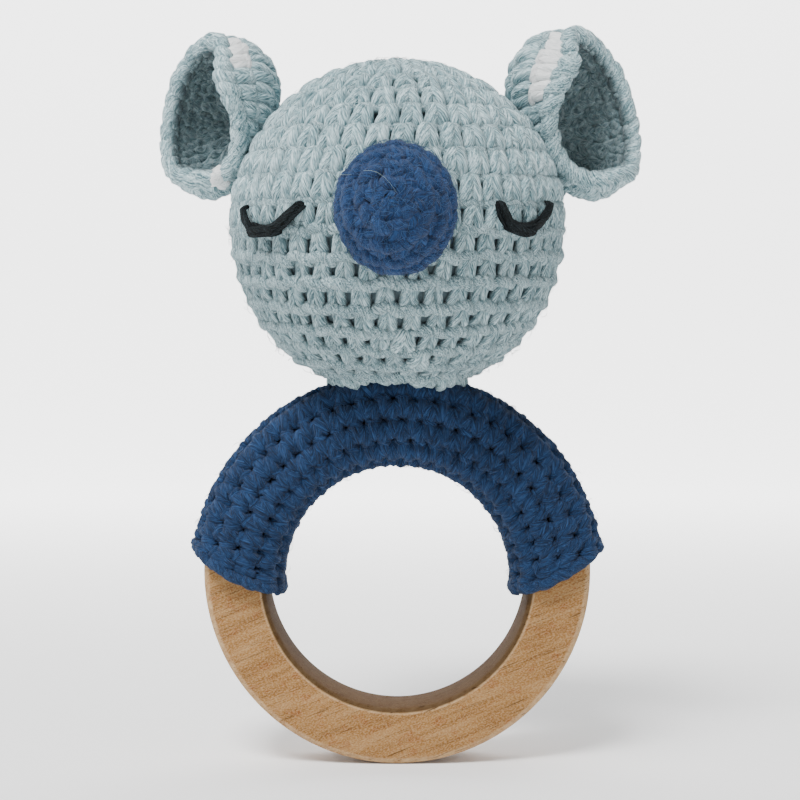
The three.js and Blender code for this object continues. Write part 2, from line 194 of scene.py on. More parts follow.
def make_piece(name, verts, faces, material, attributes=None):
    """Writes a smooth mesh of quads whose vertices are given in millimetres."""
    mesh = bpy.data.meshes.new(name)
    verts = np.asarray(verts, dtype=np.float32) * MM
    mesh.vertices.add(len(verts))
    mesh.vertices.foreach_set("co", verts.ravel())
    mesh.loops.add(faces.size)
    mesh.polygons.add(len(faces))
    mesh.loops.foreach_set("vertex_index", faces.ravel().astype(np.int32))
    mesh.polygons.foreach_set("loop_start", np.arange(len(faces), dtype=np.int32) * faces.shape[1])
    mesh.update(calc_edges=True)
    for key, values in (attributes or {}).items():
        single = values.ndim == 1
        layer = mesh.attributes.new(key, "FLOAT" if single else "FLOAT_VECTOR", "POINT")
        layer.data.foreach_set("value" if single else "vector", values.astype(np.float32).ravel())
    mesh.shade_smooth()
    mesh.materials.append(material)
    return add_object(name, mesh)


def place_piece(piece, body, node):
    """A piece's body, and the CAD node that it stands for."""
    if body is not None:
        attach(piece, body)
    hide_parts(node)


def closed_quads(rows, columns):
    """Quads over a grid of vertices that closes on itself both ways."""
    upper = np.arange(rows * columns).reshape(rows, columns)
    lower = np.roll(upper, -1, 0)
    return np.stack([upper, lower, np.roll(lower, -1, 1), np.roll(upper, -1, 1)], 2).reshape(-1, 4)


def shell_mesh(surface, rows, columns, inner, outer, first=0.0, last=1.0):
    """Closed thin fabric over surface(u, v, out), u round it: an outer skin joined to an inner one."""
    u = angles_round(columns)
    there = np.linspace(first, last, rows)
    outside = surface(u[None, :], there[:, None], outer)
    inside = surface(u[None, :], there[::-1, None], inner)
    verts = np.concatenate([outside.reshape(-1, 3), inside.reshape(-1, 3)])
    return verts, closed_quads(2 * rows, columns)


def add_backing(name, mesh, centre, material, node):
    """Padded fabric behind the stitches, which stays with the toy."""
    verts, faces = mesh
    piece = make_piece(name, verts + centre, faces, material)
    place_piece(piece, "toy", node)


# ---- yarn ----


def smooth_path(points, steps=8):
    """Catmull-Rom curves through (..., points, 3), sampled evenly."""
    points = np.asarray(points, dtype=float)
    first = 2 * points[..., :1, :] - points[..., 1:2, :]
    last = 2 * points[..., -1:, :] - points[..., -2:-1, :]
    ends = np.concatenate([first, points, last], axis=-2)
    place = np.linspace(0, points.shape[-2] - 1, steps)
    index = np.minimum(place.astype(int), points.shape[-2] - 2)
    t = (place - index)[:, None]
    a, b, c, d = (ends[..., index + k, :] for k in range(4))
    bend = (2 * a - 5 * b + 4 * c - d) * t**2 + (3 * b - a - 3 * c + d) * t**3
    return 0.5 * (2 * b + (c - a) * t + bend)


def xyz(*parts):
    return np.stack(np.broadcast_arrays(*parts), axis=-1)


def angles_round(count):
    return np.arange(count) / count * TURN


def unit(vectors):
    return vectors / np.maximum(np.linalg.norm(vectors, axis=-1, keepdims=True), 1e-9)


class Strands:
    """Many strands of yarn with the same number of steps, in millimetres."""

    def __init__(self, paths, normals, radii, depths, twist):
        self.paths = paths
        self.normals = unit(np.broadcast_to(normals, paths.shape))
        self.radii = np.broadcast_to(radii, paths.shape[:2])
        self.depths = np.broadcast_to(depths, paths.shape[:2])
        self.twist = np.broadcast_to(twist, paths.shape[:1])

    def middles(self):
        return self.paths[:, self.paths.shape[1] // 2]

    def pick(self, mask):
        parts = (self.paths, self.normals, self.radii, self.depths, self.twist)
        return Strands(*(part[mask] for part in parts))


def strands_mesh(strands, around):
    """Closed tubes along the strands, with what the yarn's material needs at each vertex."""
    paths, radii = strands.paths, strands.radii
    tubes, steps, _ = paths.shape
    tangents = unit(np.gradient(paths, axis=1))
    sides = unit(np.cross(tangents, strands.normals))
    lifts = np.cross(sides, tangents)
    angle = angles_round(around)
    spread = (np.cos(angle)[:, None] * sides[:, :, None, :] + np.sin(angle)[:, None] * lifts[:, :, None, :])
    verts = paths[:, :, None, :] + radii[:, :, None, None] * spread
    lengths = np.linalg.norm(np.diff(paths, axis=1), axis=2)
    along = np.concatenate([np.zeros((tubes, 1)), np.cumsum(lengths, axis=1)], axis=1)
    along += RANDOM.uniform(0, YARN_PERIOD, (tubes, 1))
    turn = angle + along[:, :, None] * strands.twist[:, None, None]
    yarn = xyz(np.cos(turn), np.sin(turn), along[:, :, None])
    tone = np.broadcast_to(RANDOM.uniform(0, 1, (tubes, 1, 1)), turn.shape)
    # how deep each point of the tube lies, its lower side deeper; the yarn's material paints shade from this
    depth = strands.depths[:, :, None] + radii[:, :, None] * np.sin(angle)
    sides_of_tube = closed_quads(steps, around)[:(steps - 1) * around, [0, 3, 2, 1]]
    cap = np.array([(k, k + 1, around - 2 - k, around - 1 - k) for k in range(around // 2 - 1)])
    one = np.vstack([sides_of_tube, cap[:, ::-1], cap + (steps - 1) * around])
    faces = one[None] + np.arange(tubes)[:, None, None] * steps * around
    return verts.reshape(-1, 3), faces.reshape(-1, 4), yarn.reshape(-1, 3), tone.ravel(), depth.ravel()


YARN_PERIOD = 40.0  # strands start at a random place within this length of the yarn's pattern
YARN_SIDES = 8
HAIR_SIDES = 4


def yarn_piece(name, parts, material, centre, shape=None):
    """One piece out of several groups of strands."""
    made = [strands_mesh(strands, YARN_SIDES if strands.radii.max() > HAIR_RADIUS * 2 else HAIR_SIDES)
            for strands in parts]
    firsts = np.cumsum([0] + [len(part[0]) for part in made[:-1]])
    faces = np.concatenate([part[1] + first for part, first in zip(made, firsts)])
    verts, yarn, tone, depth = (np.concatenate([part[k] for part in made]) for k in (0, 2, 3, 4))
    if shape is not None:
        verts = shape(verts)
    return make_piece(name, verts + centre, faces, material, {"yarn": yarn, "tone": tone, "depth": depth})


def add_yarn(name, parts, material, centre, node, shape=None):
    """A piece of yarn that stays with the toy."""
    place_piece(yarn_piece(name, parts, material, centre, shape), "toy", node)


def laid(surface, u, v, out):
    """Places on a surface, and the ways out of it."""
    places = surface(u, v, out)
    return places, surface(u, v, out + 0.5) - places


def laid_strands(surface, local, starts, widths, rows, heights, radius, twist, taper=1.0):
    """Strands given as (across, down, out) points of each stitch, laid on surface(u, v, out)."""
    local = smooth_path(local)
    count, steps = local.shape[:2]
    starts, widths, rows, heights = (
        np.broadcast_to(values, (count,))[:, None] for values in (starts, widths, rows, heights))
    u = starts + local[..., 0] * widths
    v = rows + local[..., 1] * heights
    out = local[..., 2]
    paths, normals = laid(surface, u, v, out)
    ends = np.sin(np.linspace(0.14, math.pi - 0.14, steps)) * 1.7
    thin = 1 - taper * (1 - np.clip(ends, 0.3, 1.0))
    radii = radius * thin[None] * RANDOM.uniform(0.9, 1.1, (count, 1))
    return Strands(paths, normals, radii, out, twist)


def shaken(template, count, amount=(0.03, 0.04, 0.12)):
    """Copies of a strand's points, each a little different between its ends."""
    points = np.broadcast_to(np.asarray(template, dtype=float), (count, len(template), 3)).copy()
    wave = np.sin(np.linspace(0.2, math.pi - 0.2, len(template)))[None, :, None]
    return points + RANDOM.normal(0, 1, points.shape) * wave * np.array(amount)


# ---- crochet ----

# The strands of a stitch: points across in stitch widths, down in row heights and
# out in millimetres. A petal is a full stitch; a post stands back behind its loop.
PETAL_LEG = [(0.07, -0.14, 0.0), (0.12, 0.08, 0.80), (0.18, 0.42, 0.98), (0.25, 0.76, 0.72),
             (0.28, 1.03, -0.5)]
POST_LEG = [(0.11, -0.12, 0.0), (0.14, 0.16, 0.24), (0.16, 0.46, 0.26), (0.21, 0.78, 0.20),
            (0.29, 1.05, -0.2)]
PETAL_LOOP = [(-0.60, 0.03, 0.0), (-0.30, -0.03, 0.80), (0.0, 0.0, 0.95), (0.30, 0.02, 0.80),
              (0.60, 0.04, 0.0)]
POST_LOOP = [(-0.66, 0.20, 0.0), (-0.34, 0.07, 0.52), (0.0, -0.06, 0.64), (0.34, -0.07, 0.58),
             (0.66, 0.08, 0.0)]
PETAL_RADIUS = (1.20, 0.85)  # of a leg and of a loop
POST_RADIUS = (1.00, 1.16)
POST_JITTER = (0.035, 0.055, 0.09)
LEG_TWIST, LOOP_TWIST = 0.4, 1.5  # in radians per millimetre


def crochet(surface, starts, widths, rows, heights, posts, lean=0.0, size=1.0):
    """Stitches that are petals where posts is 0 and posts where it is 1."""
    count = len(starts)
    share = np.broadcast_to(posts, (count,))[:, None, None]
    groups = []
    for side, petal, post, part, slant, twist, taper in (
            (-1, PETAL_LEG, POST_LEG, 0, lean, -LEG_TWIST, 1.0),
            (1, PETAL_LEG, POST_LEG, 0, lean, LEG_TWIST, 1.0),
            (1, PETAL_LOOP, POST_LOOP, 1, 0.0, LOOP_TWIST, 0.6)):
        mirror = (side, 1, 1)
        local = shaken(np.multiply(petal, mirror), count) * (1 - share)
        local += shaken(np.multiply(post, mirror), count, POST_JITTER) * share
        local[..., 0] += slant * local[..., 1]
        radius = size * (PETAL_RADIUS[part] * (1 - share[:, 0]) + POST_RADIUS[part] * share[:, 0])
        groups.append(laid_strands(surface, local, starts, widths, rows, heights, radius, twist, taper))
    return groups


# The strands that meet at each hole of the tight fabric: a loop to the next hole, legs to the
# two holes of the next row, and the fan's middle legs, which end under a loop.
HOLE_LOOP = [(0.30, 0.0, -0.9), (0.36, 0.02, 0.30), (0.50, 0.0, 0.72), (0.64, -0.02, 0.30),
             (0.70, 0.0, -0.9)]
HOLE_LEG = [(0.12, 0.22, -0.9), (0.16, 0.30, 0.45), (0.25, 0.50, 0.92), (0.34, 0.70, 0.45),
            (0.38, 0.78, -0.9)]
FAN_DOWN = [(0.0, 0.24, -0.9), (0.0, 0.33, 0.50), (0.0, 0.58, 0.98), (0.0, 0.82, 0.85), (0.0, 1.0, 0.2)]
FAN_UP = [(0.5, 0.0, 0.2), (0.5, 0.18, 0.85), (0.5, 0.42, 0.98), (0.5, 0.67, 0.50), (0.5, 0.76, -0.9)]


def tight_fabric(surface, starts, widths, rows, heights):
    left_leg = np.multiply(HOLE_LEG, (-1, 1, 1))
    groups = []
    for template, radius, twist in ((HOLE_LOOP, 1.08, 1.2), (HOLE_LEG, 1.02, 0.6), (left_leg, 1.02, -0.6),
                                    (FAN_DOWN, 1.02, 0.4), (FAN_UP, 1.02, -0.4)):
        local = shaken(template, len(starts), amount=(0.02, 0.02, 0.08))
        groups.append(laid_strands(surface, local, starts, widths, rows, heights, radius, twist, taper=0.45))
    return groups


HAIR_RADIUS = 0.035


def hairs(surface, count, u_range, v_range, out, length, lift, crowding=1.0):
    """Loose fibres in random curls; crowding under 1 puts more of them far down."""
    u = RANDOM.uniform(*u_range, count)
    v = v_range[0] + (v_range[1] - v_range[0]) * RANDOM.uniform(0, 1, count) ** crowding
    start, normal = laid(surface, u, v, out)
    normal = unit(normal)
    heading = RANDOM.normal(0, 1, (count, 3))
    heading = unit(heading - normal * np.sum(heading * normal, axis=1, keepdims=True))
    curl = np.cross(normal, heading) * RANDOM.uniform(-0.8, 0.8, (count, 1))
    reach = RANDOM.uniform(0.4, 1.0, (count, 1)) * length
    share = np.linspace(0, 1, 6)[None, :, None]
    rise = RANDOM.uniform(0.2, 1.0, (count, 1)) * lift
    paths = start[:, None] + share * (heading * reach)[:, None] + share**2 * (curl * reach)[:, None]
    paths += (np.sin(share * math.pi * 0.85)) * (normal * rise)[:, None]
    radii = HAIR_RADIUS * np.array([1, 1, 1, 0.9, 0.7, 0.4])
    return Strands(paths, normal[:, None], radii, depths=1.2, twist=0.0)


def rounds(counts, first, height, spiral=False, shift=0.37):
    """Start, width, row and height of every stitch in rounds of the given counts."""
    parts = []
    for number, count in enumerate(counts):
        index = np.arange(count)
        starts = (index + number * shift) / count * TURN
        climb = index / count if spiral else np.zeros(count)
        rows = first + (number + climb) * height
        parts.append((starts, np.full(count, TURN / count), rows, np.full(count, height)))
    return [np.concatenate(part) for part in zip(*parts)]


# ---- materials ----


class Nodes:
    """Short hand for building a node tree."""

    def __init__(self, name):
        self.material = bpy.data.materials.new(name)
        self.material.use_nodes = True
        self.tree = self.material.node_tree
        self.shader = self.tree.nodes["Principled BSDF"]

    def add(self, kind, settings=None, **values):
        node = self.tree.nodes.new(kind)
        for key, value in (settings or {}).items():
            setattr(node, key, value)
        for key, value in values.items():
            self.feed(node.inputs[key.replace("_", " ")], value)
        return node

    def feed(self, socket, value):
        if isinstance(value, bpy.types.NodeSocket):
            self.tree.links.new(value, socket)
        else:
            socket.default_value = value

    def math(self, operation, a, b=0.0, c=0.0):
        node = self.add("ShaderNodeMath", {"operation": operation})
        for socket, value in zip(node.inputs, (a, b, c)):
            self.feed(socket, value)
        return node.outputs[0]

    def attribute(self, name, output):
        return self.add("ShaderNodeAttribute", {"attribute_name": name}).outputs[output]

    def mix(self, factor, a, b):
        node = self.add("ShaderNodeMix", {"data_type": "RGBA"})
        for socket, value in ((0, factor), (6, a), (7, b)):
            self.feed(node.inputs[socket], value)
        return node.outputs[2]

    def ramp(self, factor, stops):
        node = self.tree.nodes.new("ShaderNodeValToRGB")
        elements = node.color_ramp.elements
        for element, (place, colour) in ((elements[0], stops[0]), (elements[1], stops[-1])):
            element.position = place
            element.color = linear(colour)
        for place, colour in stops[1:-1]:
            elements.new(place).color = linear(colour)
        self.feed(node.inputs[0], factor)
        return node.outputs[0]

    def scaled(self, vector, scale):
        return self.add("ShaderNodeMapping", Vector=vector, Scale=scale).outputs[0]

    def per_mm(self):
        """The object's own coordinates in millimetres."""
        return self.scaled(self.add("ShaderNodeTexCoord").outputs["Object"], (1 / MM, 1 / MM, 1 / MM))

    def noise(self, vector, scale, detail=2.0, roughness=0.5):
        node = self.add("ShaderNodeTexNoise", Vector=vector, Scale=scale, Detail=detail, Roughness=roughness)
        return node.outputs["Fac"]

    def bump(self, height, distance, strength=1.0):
        return self.add("ShaderNodeBump", Height=height, Distance=distance, Strength=strength).outputs[0]

    def smooth_step(self, value, low, high, top=1.0):
        return self.add("ShaderNodeMapRange", {"interpolation_type": "SMOOTHSTEP"}, Value=value,
                        From_Min=low, From_Max=high, To_Max=top).outputs[0]

    def finish(self, **values):
        """Sets or links the shader's own sockets, and gives the material."""
        for key, value in values.items():
            self.feed(self.shader.inputs[key.replace("_", " ")], value)
        return self.material


def linear(colour, share=1.0):
    """A share of the light of a colour given as it looks on screen, 0 to 255."""
    channels = [c / 255 for c in colour]
    light = [c / 12.92 if c <= 0.04045 else ((c + 0.055) / 1.055) ** 2.4 for c in channels]
    return tuple(c * share for c in light) + (1.0,)


def yarn_material(name, painted_shade, dark, body, light, sheen=0.2, contrast=1.0, shade=(-1.0, 0.7)):
    """Plied cotton: fibres along the strand, soft plies, and painted shade where it lies deep."""
    nodes = Nodes(name)
    yarn = nodes.attribute("yarn", "Vector")
    fibres = nodes.noise(nodes.scaled(yarn, (3.6, 3.6, 0.42)), 1.0, detail=2.0, roughness=0.6)
    fine = nodes.noise(nodes.scaled(yarn, (8.5, 8.5, 0.7)), 1.0, detail=1.0)
    split = nodes.add("ShaderNodeSeparateXYZ", Vector=yarn)
    turn = nodes.math("ARCTAN2", split.outputs[1], split.outputs[0])
    plies = nodes.math("ABSOLUTE", nodes.math("SINE", nodes.math("MULTIPLY", turn, 2.0)))
    # painted shade: the colour turns towards the darkest one given where the yarn lies deep, in the fabric's
    # hollows and under other strands
    depth = nodes.smooth_step(nodes.attribute("depth", "Fac"), *shade)
    tone = nodes.math("MULTIPLY_ADD", nodes.attribute("tone", "Fac"), 0.14, -0.07)
    strokes = nodes.math("MULTIPLY_ADD", fibres, 1.6, nodes.math("MULTIPLY_ADD", fine, 1.9, -1.25))
    groove = nodes.math("MULTIPLY_ADD", plies, 0.16, -0.08)
    level = nodes.math("ADD", nodes.math("ADD", strokes, groove), tone)
    level = nodes.math("MULTIPLY_ADD", level, contrast, 0.5 - 0.5 * contrast)
    colour = nodes.ramp(level, [(0.15, dark), (0.50, body), (0.88, light)])
    height = nodes.math("MULTIPLY_ADD", plies, 0.35, nodes.math("MULTIPLY_ADD", fine, 0.7, fibres))
    return nodes.finish(Base_Color=nodes.mix(depth, linear(painted_shade), colour), Roughness=0.95,
                        Specular_IOR_Level=0.2, Sheen_Weight=sheen, Sheen_Roughness=0.6,
                        Normal=nodes.bump(height, 0.35 * MM))


def backing_material(name, colour):
    """The inside of the fabric, seen only down between the stitches, in a fuzzy mottle of the colour it is
    given; the grey and navy backings are given colours darker than their yarn, as painted shade.
    """
    nodes = Nodes(name)
    fuzz = nodes.noise(nodes.per_mm(), 2.2, detail=4.0)
    return nodes.finish(Base_Color=nodes.mix(fuzz, linear(colour, 0.55), linear(colour)), Roughness=1.0,
                        Normal=nodes.bump(fuzz, 0.3 * MM))


GRAIN_LEAN = math.radians(22)


def beech_material():
    """Sanded beech: fine grain, ray flecks, pores, hairline cracks, a painted highlight on the rounded edges
    and dark brown painted shade in the bore.
    """
    nodes = Nodes("beech")
    place = nodes.add("ShaderNodeTexCoord").outputs["Object"]
    centre = nodes.add("ShaderNodeVectorMath", {"operation": "SUBTRACT"}, Vector=place)
    centre.inputs[1].default_value = tuple(RING_CENTRE * MM)
    lean = nodes.add("ShaderNodeVectorRotate", {"rotation_type": "Y_AXIS"}, Vector=centre.outputs[0],
                     Angle=GRAIN_LEAN).outputs[0]
    per_mm = nodes.scaled(lean, (1 / MM, 1 / MM, 1 / MM))

    def figure(stretch, detail=2.0, roughness=0.5):
        return nodes.noise(nodes.scaled(per_mm, stretch), 1.0, detail, roughness)

    def marks(stretch, low, high, detail=2.0, roughness=0.5):
        return nodes.ramp(figure(stretch, detail, roughness), [(low, (0, 0, 0)), (high, (255, 255, 255))])

    grain = figure((0.09, 0.7, 0.85), 4.0, 0.6)
    fine = figure((0.9, 4.0, 5.5), 3.0, 0.7)
    line = marks((0.06, 2.4, 4.2), 0.615, 0.66)
    broken = figure((0.5, 0.5, 0.5), 4.0, 0.7)
    broken = nodes.math("MULTIPLY_ADD", broken, 2.4, -0.6)
    edge_highlight = nodes.math("MULTIPLY", nodes.attribute("edge_highlight", "Fac"), broken)
    colour = nodes.ramp(grain, [(0.34, (124, 84, 46)), (0.50, (155, 114, 69)), (0.66, (180, 142, 96))])
    layers = [
        (figure((0.10, 0.10, 0.18)), 0.50, (138, 94, 52)),  # warm patches
        (fine, 0.50, (106, 74, 44)),
        (line, 0.62, (80, 54, 32)),
        (marks((0.42, 0.7, 0.62), 0.57, 0.67), 0.50, (128, 74, 44)),  # ray flecks
        (marks((2.4, 4.0, 4.0), 0.42, 0.62, roughness=0.7), 0.38, (206, 174, 128)),  # pores
        (nodes.add("ShaderNodeClamp", Value=edge_highlight).outputs[0], 0.62, (208, 180, 142)),  # painted highlight on the rounded edges, broken up by noise
        (marks((0.12, 3.0, 3.2), 0.68, 0.71, detail=1.0), 0.7, (48, 34, 24)),  # hairline cracks
        # painted shade on the wall of the hole, a deep brown
        (nodes.attribute("bore_shade", "Fac"), 0.86, (52, 34, 15)),
    ]
    for mask, amount, tint in layers:
        colour = nodes.mix(nodes.math("MULTIPLY", mask, amount), colour, linear(tint))
    height = nodes.math("MULTIPLY_ADD", fine, 0.5, nodes.math("MULTIPLY", line, -1.0))
    return nodes.finish(Base_Color=colour, Roughness=nodes.math("MULTIPLY_ADD", fine, 0.2, 0.6),
                        Specular_IOR_Level=0.03, Normal=nodes.bump(height, 0.06 * MM, 0.7))


def plastic_material(name, colour, roughness, speckle):
    """Moulded plastic with a faint mottle and a fine satin texture."""
    nodes = Nodes(name)
    per_mm = nodes.per_mm()
    mottle = nodes.noise(per_mm, 0.35, detail=3.0)
    grain = nodes.noise(per_mm, 6.0, detail=2.0)
    return nodes.finish(Base_Color=nodes.mix(mottle, linear(colour, 1 - speckle), linear(colour)),
                        Roughness=nodes.math("MULTIPLY_ADD", grain, 0.15, roughness),
                        Normal=nodes.bump(grain, 0.02 * MM, 0.5))


GREY = yarn_material("grey_yarn", (44, 66, 72), (76, 107, 114), (142, 174, 181), (206, 228, 232),
                     shade=(-0.75, 0.98))
# A darker copy of the grey yarn with more of its painted shade: painted shade for the lower head, which faces
# away from the light.
GREY_PAINTED_SHADE = yarn_material("grey_yarn_painted_shade", (38, 58, 64), (68, 97, 104), (132, 163, 170),
                          (196, 219, 223), shade=(-0.35, 1.42))
NAVY = yarn_material("navy_yarn", (4, 9, 18), (11, 24, 44), (23, 48, 82), (44, 76, 120),
                     sheen=0.05, contrast=0.7)
NOSE_NAVY = yarn_material("nose_navy_yarn", (4, 11, 26), (13, 33, 64), (24, 54, 96), (40, 76, 124),
                          sheen=0.10, shade=(-0.4, 1.15))
# Loose fibres of the nose's yarn, coloured lighter than the nose's navy: painted light on the fuzz.
NOSE_FUZZ_LIT = yarn_material("nose_fuzz_painted_light", (40, 77, 124), (47, 86, 135), (60, 102, 153),
                          (78, 120, 170), sheen=0.1, contrast=0.5)
WHITE = yarn_material("white_yarn", (186, 195, 197), (222, 228, 229), (246, 248, 248), (252, 253, 253))
BLACK = yarn_material("black_thread", (1, 2, 3), (3, 5, 6), (11, 16, 18), (52, 63, 67),
                      sheen=0.0, contrast=1.25)
# darker than the grey yarn: painted shade down in the pits between the stitches
GREY_BACKING_SHADED = backing_material("grey_backing_painted_shade", (92, 112, 118))
EAR_BACKING = backing_material("ear_backing", (150, 172, 178))
# darker than the navy yarn: painted shade down in the pits between the stitches
NAVY_BACKING_SHADED = backing_material("navy_backing_painted_shade", (16, 28, 48))
BEECH = beech_material()
FIBREFILL = backing_material("fibrefill", (244, 243, 238))
CAPSULE = plastic_material("capsule_plastic", (222, 229, 233), 0.35, 0.08)
PELLET = plastic_material("pellet_plastic", (214, 84, 62), 0.22, 0.15)


# ---- ring ----


def build_ring():
    around, corner_steps = 256, 6
    angles = angles_round(around)
    verts, edge_highlights, bore_shades = [], [], []
    for corner in range(4):
        outside, front = corner in (0, 3), corner in (2, 3)
        for step in range(corner_steps + 1):
            turn = (corner + step / corner_steps) * math.pi / 2
            inset = RING_EDGE * (1 - abs(math.cos(turn)))
            depth = (RING_HALF_DEPTH - RING_EDGE + RING_EDGE * abs(math.sin(turn))) * (-1 if front else 1)
            radius, drop = (RING_RADIUS - inset, 0.0) if outside else (HOLE_RADIUS + inset, HOLE_DROP)
            verts.append(xyz(radius * np.cos(angles), depth, radius * np.sin(angles) - drop))
            # 1 on the rounded edges, which the wood paints lighter as a highlight
            edge_highlights.append(np.full(around, 1.0 if 0 < step < corner_steps else 0.0))
            # 1 on the wall of the hole, which the wood darkens as painted shade
            bore_shades.append(np.full(around, 0.0 if outside or inset > 0.7 * RING_EDGE else 1.0))
    faces = closed_quads(len(verts), around)
    ring = make_piece("beech_ring", np.concatenate(verts) + RING_CENTRE, faces, BEECH,
                      {"edge_highlight": np.concatenate(edge_highlights), "bore_shade": np.concatenate(bore_shades)})
    place_piece(ring, "ring", "wooden_ring")


# ---- head ----


FABRIC_TOP = 2.1  # how far the yarn stands out from the fabric's base
CHIN_FROM = math.radians(136)  # the last rounds are drawn in towards the neck from this angle down
CHIN_DRAW = 0.5


def head_surface(u, v, out):
    """Round the head by angle u from the back, down from the crown by angle v.

    The head is tipped forward about its centre, and flat underneath where it sits on the sleeve.
    """
    radius = HEAD_RADIUS - FABRIC_TOP + out - CHIN_DRAW * np.clip((v - CHIN_FROM) / 0.35, 0, 1)
    flat = radius * np.sin(v)
    y, z = flat * np.cos(u), radius * np.cos(v)
    cos, sin = math.cos(HEAD_NOD), math.sin(HEAD_NOD)
    above = y * sin + z * cos + HEAD_FLOOR
    return xyz(flat * np.sin(u), y * cos - z * sin, (above + np.hypot(above, 1.2)) / 2 - HEAD_FLOOR)


POSTS_FROM = 76  # degrees down from the crown where full stitches begin to turn into posts
LAST_ROUND = 158  # and where the rounds end, inside the neck
JOIN_START = 3  # the join of the rounds is this many degrees round from the face at 30 degrees down,
JOIN_SLANT = 0.7  # moves on by this many degrees for each degree further down,
JOIN_WIDTH = 9  # and is this many degrees wide


def build_head():
    mesh = shell_mesh(head_surface, 48, 96, inner=-1.6, outer=-0.2, first=0.01, last=math.pi - 0.01)
    add_backing("head_backing", mesh, HEAD_CENTRE, GREY_BACKING_SHADED, "head_shell")
    middles = (np.arange(HEAD_ROUNDS) + 0.85) * ROUND_STEP
    counts = np.maximum(6, np.round(HEAD_STITCHES * np.sin(middles))).astype(int)
    starts, widths, rows, heights = rounds(counts, 0.35 * ROUND_STEP, ROUND_STEP)
    rows = rows + 0.05 * ROUND_STEP * np.sin(starts * 3 + rows * 5)
    down = np.degrees(rows)
    posts = np.clip((down - POSTS_FROM) / 16, 0, 1)
    below = down - 90 - math.degrees(HEAD_NOD)
    join_middle = JOIN_START + JOIN_SLANT * (below - 30)
    join = np.abs(np.degrees(math.pi - starts) - join_middle) < JOIN_WIDTH / 2
    posts = np.where(join & (below > 22), 0.0, posts)
    # the lower rounds use the darker copy of the grey yarn: painted shade under the head
    for name, mask, span, material in (
            ("head_stitches_upper", down < POSTS_FROM, (0.0, 1.35), GREY),
            ("head_stitches_lower", (down >= POSTS_FROM) & (down < LAST_ROUND), (1.35, 2.6), GREY_PAINTED_SHADE)):
        stitches = [part[mask] for part in (starts, widths, rows, heights, posts)]
        groups = crochet(head_surface, *stitches, lean=0.10)
        groups.append(hairs(head_surface, 350, (0, TURN), span, out=1.7, length=2.2, lift=0.8))
        add_yarn(name, groups, material, HEAD_CENTRE, "head_shell")


# ---- sleeve ----

SLEEVE_ROWS = 12
SLEEVE_STITCHES = 27
SECTION_POWER = 2.7  # between an ellipse and a rectangle


def section_point(share, inset):
    """A point on the sleeve's rounded section, by share of the way round it."""
    half_width = (SLEEVE_OUTER - SLEEVE_INNER) / 2 - inset
    half_depth = SLEEVE_DEPTH / 2 - inset
    waves = (half_width, np.cos(share * TURN)), (half_depth, np.sin(share * TURN))
    return [half * np.sign(wave) * np.abs(wave) ** (2 / SECTION_POWER) for half, wave in waves]


def even_shares():
    """Shares spaced evenly along the section's outline."""
    share = np.linspace(0, 1, 721)
    x, y = section_point(share, 1.5)
    length = np.concatenate([[0], np.cumsum(np.hypot(np.diff(x), np.diff(y)))])
    return length / length[-1], share


EVEN_LENGTH, EVEN_SHARE = even_shares()
END_RISE = (math.radians(-7.5), math.radians(9.2))  # angle of the sleeve's end inside and outside


def sleeve_surface(u, v, out):
    """u runs 0 to 1 along the arc, v 0 to 1 round the section from the outside towards the front."""
    share = np.interp(np.mod(v, 1.0), EVEN_LENGTH, EVEN_SHARE)
    x, y = section_point(share, FABRIC_TOP - out)
    half_width = (SLEEVE_OUTER - SLEEVE_INNER) / 2
    rise = END_RISE[0] + (END_RISE[1] - END_RISE[0]) * np.clip(0.5 + x / half_width / 2, 0, 1)
    angle = rise + u * (math.pi - 2 * rise)
    radius = (SLEEVE_OUTER + SLEEVE_INNER) / 2 + x
    return xyz(radius * np.cos(angle), -y, radius * np.sin(angle) - SLEEVE_DROP)


CHANNEL_GAP = 0.3  # kept between the wood and the yarn


def clear_of_ring(places):
    """Presses yarn that would lie in the wood's channel flat against the channel's wall."""
    inner = HOLE_RADIUS - HOLE_DROP - CHANNEL_GAP
    outer = RING_RADIUS + CHANNEL_GAP
    half_depth = RING_HALF_DEPTH + CHANNEL_GAP
    x, y, z = np.moveaxis(places, -1, 0)
    radius = np.hypot(x, z)
    gaps = np.array([outer - radius, radius - inner, half_depth - np.abs(y)])
    wall = np.where(gaps.min(axis=0) > 0, gaps.argmin(axis=0), -1)
    scale = np.select([wall == 0, wall == 1], [outer, inner], radius) / np.maximum(radius, 1e-6)
    return xyz(x * scale, np.where(wall == 2, np.sign(y) * half_depth, y), z * scale)


